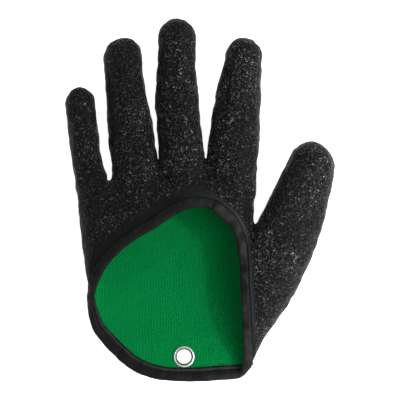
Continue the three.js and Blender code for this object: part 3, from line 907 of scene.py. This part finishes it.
# Lanes are lines beside the rim, each one march further in along the skin
MARCH = 0.5
steps = int((TAPE_INNER_WIDTH + max(HEM_LEAF_EXTRA)) / MARCH) + 1
tangent = np.roll(rim, -1, axis=0) - np.roll(rim, 1, axis=0)
inward = unit(np.cross(tangent, normals(rim)))
inward *= np.sign((from_edge(rim + inward) - from_edge(rim - inward)).mean())
lanes = [rim]
for _ in range(steps):
    lane = onto_skin(evened(lanes[-1] + inward * MARCH, rounds=1, share=0.3), rounds=1)
    inward = evened(lane - lanes[-1], rounds=2)
    inward = unit(inward - normals(lane) * (inward * normals(lane)).sum(axis=1)[:, None])
    lanes.append(lane)
lanes = np.array(lanes)
lane_normals = np.array([normals(lane) for lane in lanes])


def on_lanes(along, inside, height):
    """The place that lies along millimetres round the rim, inside millimetres in from it along
    the skin, and height above the skin. Beyond the rim it goes straight on."""
    last_row = len(lanes) - 1.001
    row = np.clip(inside / MARCH, 0.0, last_row)
    column_place = along / TAPE_STEP
    low_row, low_column = row.astype(int), np.floor(column_place).astype(int)
    row_share, column_share = row - low_row, column_place - low_column
    place, normal = 0.0, 0.0
    for next_row in (0, 1):
        for next_column in (0, 1):
            row_weight = row_share if next_row else 1.0 - row_share
            column_weight = column_share if next_column else 1.0 - column_share
            weight = (row_weight * column_weight)[..., None]
            one = low_row + next_row, (low_column + next_column) % len(rim)
            place = place + weight * lanes[one]
            normal = normal + weight * lane_normals[one]
    outward = unit(lanes[0, low_column % len(rim)] - lanes[1, low_column % len(rim)])
    place = place + outward * np.maximum(-inside, 0.0)[..., None]
    return place + unit(normal) * height[..., None]


# The cross section, from the outer leaf's margin over the fold to the inner leaf's margin
outer_height = TAPE_GAP + TAPE_THICKNESS / 2.0
inner_height = -(WALL + TAPE_GAP + TAPE_THICKNESS / 2.0)
fold_middle = (outer_height + inner_height) / 2.0
fold_half = (outer_height - inner_height) / 2.0
fold_start = FOLD_REACH + TAPE_THICKNESS / 2.0
leaf_start = fold_start + 0.5
outer_leaf = np.linspace(TAPE_OUTER_WIDTH, leaf_start, 16)
inner_leaf = np.linspace(leaf_start, TAPE_INNER_WIDTH, 19)
turn = np.linspace(math.pi / 2.0, -math.pi / 2.0, 15)
section_in = np.concatenate([outer_leaf, fold_start - FOLD_REACH * np.cos(turn), inner_leaf])
section_up = fold_middle + fold_half * np.sin(turn)
section_up = np.pad(section_up, (len(outer_leaf), len(inner_leaf)), mode="edge")
section = np.stack([section_in, section_up], axis=1)
section_slope = np.gradient(section, axis=0)
section_out = unit(np.stack([section_slope[:, 1], -section_slope[:, 0]], axis=1))
section_length = length_to(section)

# The strip: the section along the rim, moved off by its lap, puckers, seam and margins
rim_length = len(rim) * TAPE_STEP
tape_along = np.arange(0.0, rim_length + LAP_LENGTH, TAPE_STEP)
lap_rise = smooth_step(rim_length - LAP_RISE[0], rim_length - LAP_RISE[1], tape_along)
lap_sink = smooth_step(tape_along[-1] - LAP_SINK_LENGTH, tape_along[-1], tape_along)
lap_lift = (TAPE_THICKNESS + LAP_AIR) * lap_rise - LAP_SINK * lap_sink
ripple = puckers(tape_along[:, None], section_length)
ripple *= 1.0 - FOLD_TIGHT * np.exp(-((section[:, 0] / FOLD_TIGHT_WIDTH) ** 2))
seam_dip = SEAM_DIP * np.exp(-(((section[:, 0] - SEAM_PLACE) / SEAM_WIDTH) ** 2))
to_margin = np.minimum(section_length, section_length[-1] - section_length)
margin_dip = MARGIN_DIP * np.exp(-((to_margin / MARGIN_WIDTH) ** 2))
off = lap_lift[:, None] + np.maximum(ripple, PUCKERS["lowest"]) - (seam_dip + margin_dip)
rim_here = rim[np.round(tape_along / TAPE_STEP).astype(int) % len(rim)]
leaf_extra = np.interp(rim_here[:, 0], HEM_LEAF_X, HEM_LEAF_EXTRA)
leaf_extra *= 1.0 - smooth_step(*HEM_LEAF_Z, rim_here[:, 2])
leaf_share = (section[:, 0] - fold_start) / (TAPE_INNER_WIDTH - fold_start)
leaf_share[:-len(inner_leaf)] = 0.0
inside = section[:, 0] + leaf_extra[:, None] * leaf_share + off * section_out[:, 0]
height = section[:, 1] + off * section_out[:, 1]
tape_points = on_lanes(np.broadcast_to(tape_along[:, None], inside.shape), inside, height)


def four_sided(a, b, c, d):
    """Faces from four arrays that hold the first, second, third and last corner of each."""
    return np.stack([a, b, c, d], axis=-1).reshape(-1, 4)


corner = np.arange(inside.size).reshape(inside.shape)
tape_faces = four_sided(corner[:-1, :-1], corner[:-1, 1:], corner[1:, 1:], corner[1:, :-1])
# The UV is in centimetres along the tape and across it, from the outer leaf's margin
tape_uv = np.broadcast_arrays(tape_along[:, None], section_length)
tape_uv = np.stack(tape_uv, axis=-1).reshape(-1, 2) / 10.0

# The tape is paler towards the thumb's side and stained in patches. Just before the inner seam its inner
# leaf has a painted shadow, beyond the seam the inner leaf is paler, and both margins are painted black
# as the shadow in the gap beside the tape's edge.
THREADS_PER_CM = {"warp": 12.0, "weft": 11.0}
TAPE_RELIEF = 0.0004
TAPE_BLACK = (0.0065, 0.0063, 0.007)
TAPE_THUMB_SIDE_GREY = (0.0285, 0.027, 0.0268)
THUMB_SIDE_X = (-0.035, 0.03)
STREAK_BLACK = (0.004, 0.0038, 0.004)
STAIN_BLACK = (0.003, 0.0026, 0.0032)
BEFORE_SEAM_SHADOW = (0.0038, 0.0036, 0.0036)
BEYOND_SEAM_GREY = (0.022, 0.0255, 0.0235)
MARGIN_SHADOW_BLACK = (0.0022, 0.0022, 0.0023)
tape, nodes = new_material("woven_tape", 0.65, 0.12)
split = nodes.split(nodes.add("ShaderNodeUVMap", uv_map="uv").outputs[0])
warp_turns = nodes.math("MULTIPLY", split[1], 2.0 * math.pi * THREADS_PER_CM["warp"])
weft_turns = nodes.math("MULTIPLY", split[0], 2.0 * math.pi * THREADS_PER_CM["weft"])
weave = nodes.math("MULTIPLY", nodes.math("SINE", warp_turns), nodes.math("SINE", weft_turns))
place = nodes.place()
streak = nodes.noise(place, 180.0, 3.0)
relief = nodes.math("MULTIPLY", streak, 1.6)
relief = nodes.math("ADD", nodes.math("MULTIPLY", weave, 0.25), relief)
nodes.feed("Normal", nodes.bump(relief, 0.5, TAPE_RELIEF))
towards_thumb = nodes.between(nodes.split(place)[0], *THUMB_SIDE_X)
tone = nodes.mix(towards_thumb, TAPE_BLACK, TAPE_THUMB_SIDE_GREY)
tone = nodes.mix(nodes.between(streak, 0.3, 0.7, 0.0, 0.6), tone, STREAK_BLACK)
stain = nodes.between(nodes.noise(place, 95.0, 2.0), 0.48, 0.62, 0.0, 0.7)
tone = nodes.mix(stain, tone, STAIN_BLACK)
ragged = nodes.math("MULTIPLY", nodes.math("SUBTRACT", streak, 0.5), 0.12)
ragged = nodes.math("ADD", split[1], ragged)
leaf_end = section_length[-1] / 10.0
seam_end = leaf_end - (TAPE_INNER_WIDTH - SEAM_PLACE) / 10.0
# Painted shadow on the inner leaf just before the seam.
tone = nodes.mix(nodes.between(split[1], seam_end - 0.3, seam_end - 0.1), tone, BEFORE_SEAM_SHADOW)
tone = nodes.mix(nodes.between(split[1], seam_end + 0.01, seam_end + 0.05), tone, BEYOND_SEAM_GREY)
# Painted shadow: a black line along both margins, ragged along the inner one.
outer_margin_shadow = nodes.between(split[1], 0.04, 0.085)
inner_margin_shadow = nodes.between(ragged, leaf_end - 0.09, leaf_end - 0.04, 1.0, 0.0)
margins = nodes.math("MULTIPLY", outer_margin_shadow, inner_margin_shadow)
nodes.feed("Base Color", nodes.mix(margins, MARGIN_SHADOW_BLACK, tone))

binding_tape = mesh_piece("binding_tape", tape_points.reshape(-1, 3), tape_faces, tape, uv=tape_uv)
wall(binding_tape, TAPE_THICKNESS, 0.0)
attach(binding_tape, "root")
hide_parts("edge_binding")


# The seam: black thread in a lock stitch through both leaves of the tape, near their margins.
# Each stitch is a short round-ended thread that dips into the tape at both of its ends.
STITCH_LENGTH = 2.6
STITCH_GAP = 0.5
THREAD_RADIUS = 0.2
THREAD_TIP_RADIUS = 0.015
THREAD_SQUEEZE = 0.92
THREAD_LIFT = 0.02
STITCH_END_DIP = 0.16
THREAD_BLACK = (0.006, 0.006, 0.006)
THREAD_SHEEN = (0.02, 0.02, 0.02)
# The three faces that close a round end, between its eight corners
END_FACES = np.array([(0, 1, 2, 3), (0, 3, 4, 7), (4, 5, 6, 7)])

stitch_count = int(rim_length / (STITCH_LENGTH + STITCH_GAP))
pitch = rim_length / stitch_count
thread_along = np.linspace(0.0, 1.0, 7)
thread_round = np.linspace(0.0, 2.0 * math.pi, 8, endpoint=False)
from_middle = 2.0 * thread_along - 1.0
thread_radius = THREAD_RADIUS * np.sqrt(1.0 - from_middle**6) * THREAD_SQUEEZE + THREAD_TIP_RADIUS
dip = THREAD_LIFT - SEAM_DIP - STITCH_END_DIP * from_middle**4
at = np.arange(stitch_count)[:, None] * pitch
at = at + STITCH_GAP / 2.0 + thread_along * (pitch - STITCH_GAP)
lift = np.interp(at, tape_along, lap_lift)
shape = (stitch_count, len(thread_along), len(thread_round))
along = np.broadcast_to(at[:, :, None], shape)
sideways = np.cos(thread_round) * thread_radius[:, None]
upwards = np.sin(thread_round) * thread_radius[:, None]
inside = np.broadcast_to(SEAM_PLACE + sideways, shape)
seams = []
for leaf_height, side in ((outer_height, 1.0), (inner_height, -1.0)):
    middle_height = leaf_height + side * (TAPE_THICKNESS / 2.0 + lift + dip)
    seams.append(on_lanes(along, inside, middle_height[:, :, None] + upwards))
stitch_points = np.concatenate(seams)
corner = np.arange(stitch_points[..., 0].size).reshape(stitch_points.shape[:3])
after = np.roll(corner, -1, axis=2)
stitch_faces = np.concatenate([
    four_sided(corner[:, :-1], corner[:, 1:], after[:, 1:], after[:, :-1]),
    corner[:, 0][:, END_FACES].reshape(-1, 4),
    corner[:, -1][:, END_FACES[:, ::-1]].reshape(-1, 4),
])

thread, nodes = new_material("black_thread", 0.5, 0.3)
twist = nodes.noise(nodes.place(), 900.0)
nodes.feed("Base Color", nodes.mix(twist, THREAD_BLACK, THREAD_SHEEN))
binding_stitches = mesh_piece("binding_stitches", stitch_points.reshape(-1, 3), stitch_faces, thread)
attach(binding_stitches, "root")
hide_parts("edge_binding")


# The eyelet: a nickel-plated brass tube with a rolled flange, set through latex and liner near
# the hem and clenched over the washer below. It takes the clip of a release lanyard.
BORE = 4.6
FLANGE = 6.8
ROLL = 1.1
SHEET = 0.5
RECESS_SHADE = (0.8, 1.3)  # dark up to the first distance from the bore, bright from the second
NICKEL_DULL = (0.84, 0.87, 0.87)
NICKEL_BRIGHT = (0.93, 0.96, 0.96)
# The metal next to the bore is painted dark, as the shade and the dark reflection in the eyelet's recess.
RECESS_SHADE_DARK = (0.045, 0.047, 0.05)


def lathe(profile, sides=96):
    """A closed profile of radius and height turned about the vertical axis through the eyelet."""
    angle = np.linspace(0.0, 2.0 * math.pi, sides, endpoint=False)[:, None]
    x = EYELET_PLACE[0] + profile[:, 0] * np.cos(angle)
    y = EYELET_PLACE[1] + profile[:, 0] * np.sin(angle)
    z = np.broadcast_to(profile[:, 1], x.shape)
    points = np.stack([x, y, z], axis=-1)
    corner = np.arange(x.size).reshape(x.shape)
    ahead, up = np.roll(corner, -1, axis=0), np.roll(corner, -1, axis=1)
    both = np.roll(ahead, -1, axis=1)
    return points.reshape(-1, 3), four_sided(corner, ahead, both, up)


low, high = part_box("eyelet")
foot, top = low[2] * 1000.0, high[2] * 1000.0
tube = BORE + SHEET
bend = np.linspace(0.0, math.pi, 17)
roll_out = (BORE + FLANGE) / 2.0 + (FLANGE - BORE) / 2.0 * np.cos(bend)
roll_up = top - ROLL + ROLL * np.sin(bend)
roll = np.stack([roll_out, roll_up], axis=1)
barrel = np.array([
    # radius, height
    [BORE, foot + 0.6],
    [BORE + 0.1, foot + 0.15],
    [BORE + 0.6, foot],
    [BORE + 1.3, foot + 0.05],
    [BORE + 1.3, foot + 0.35],
    [tube, foot + 0.7],
    [tube, top - ROLL],
])
eyelet_points, eyelet_faces = lathe(np.concatenate([roll, barrel]))
past_bore = np.hypot(*(eyelet_points[:, :2] - EYELET_PLACE).T) - BORE
recess_shade_values = {"recess_shade": 1.0 - smooth_step(*RECESS_SHADE, past_bore)}

nickel, nodes = new_material("nickel_plate", 0.2, 0.5, 0.5)
wear = nodes.noise(nodes.place(), 700.0, 3.0)
nodes.feed("Roughness", nodes.between(wear, 0.35, 0.75, 0.08, 0.24))
recess_shade = nodes.add("ShaderNodeAttribute", attribute_name="recess_shade").outputs["Fac"]
plate = nodes.mix(wear, NICKEL_DULL, NICKEL_BRIGHT)
nodes.feed("Base Color", nodes.mix(recess_shade, plate, RECESS_SHADE_DARK))
eyelet_ring = mesh_piece("eyelet_ring", eyelet_points, eyelet_faces, nickel, values=recess_shade_values)
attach(eyelet_ring, "root")
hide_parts("eyelet")


# The washer: a flat punched ring of the same plated brass under the back of the hand, on which
# the eyelet's foot is clenched.
WASHER_PLAY = 0.2
WASHER_EDGE = 0.12
low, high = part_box("eyelet_washer")
washer_low, washer_high = low[2] * 1000.0, high[2] * 1000.0
inner, outer = tube + WASHER_PLAY, (high[0] - low[0]) / 2.0 * 1000.0
washer_profile = np.array([
    [outer - WASHER_EDGE, washer_low],
    [outer, washer_low + WASHER_EDGE],
    [outer, washer_high - WASHER_EDGE],
    [outer - WASHER_EDGE, washer_high],
    [inner + WASHER_EDGE, washer_high],
    [inner, washer_high - WASHER_EDGE],
    [inner, washer_low + WASHER_EDGE],
    [inner + WASHER_EDGE, washer_low],
])
washer_points, washer_faces = lathe(washer_profile)
washer_ring = mesh_piece("washer_ring", washer_points, washer_faces, nickel, smooth=False)
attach(washer_ring, "root")
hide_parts("eyelet_washer")
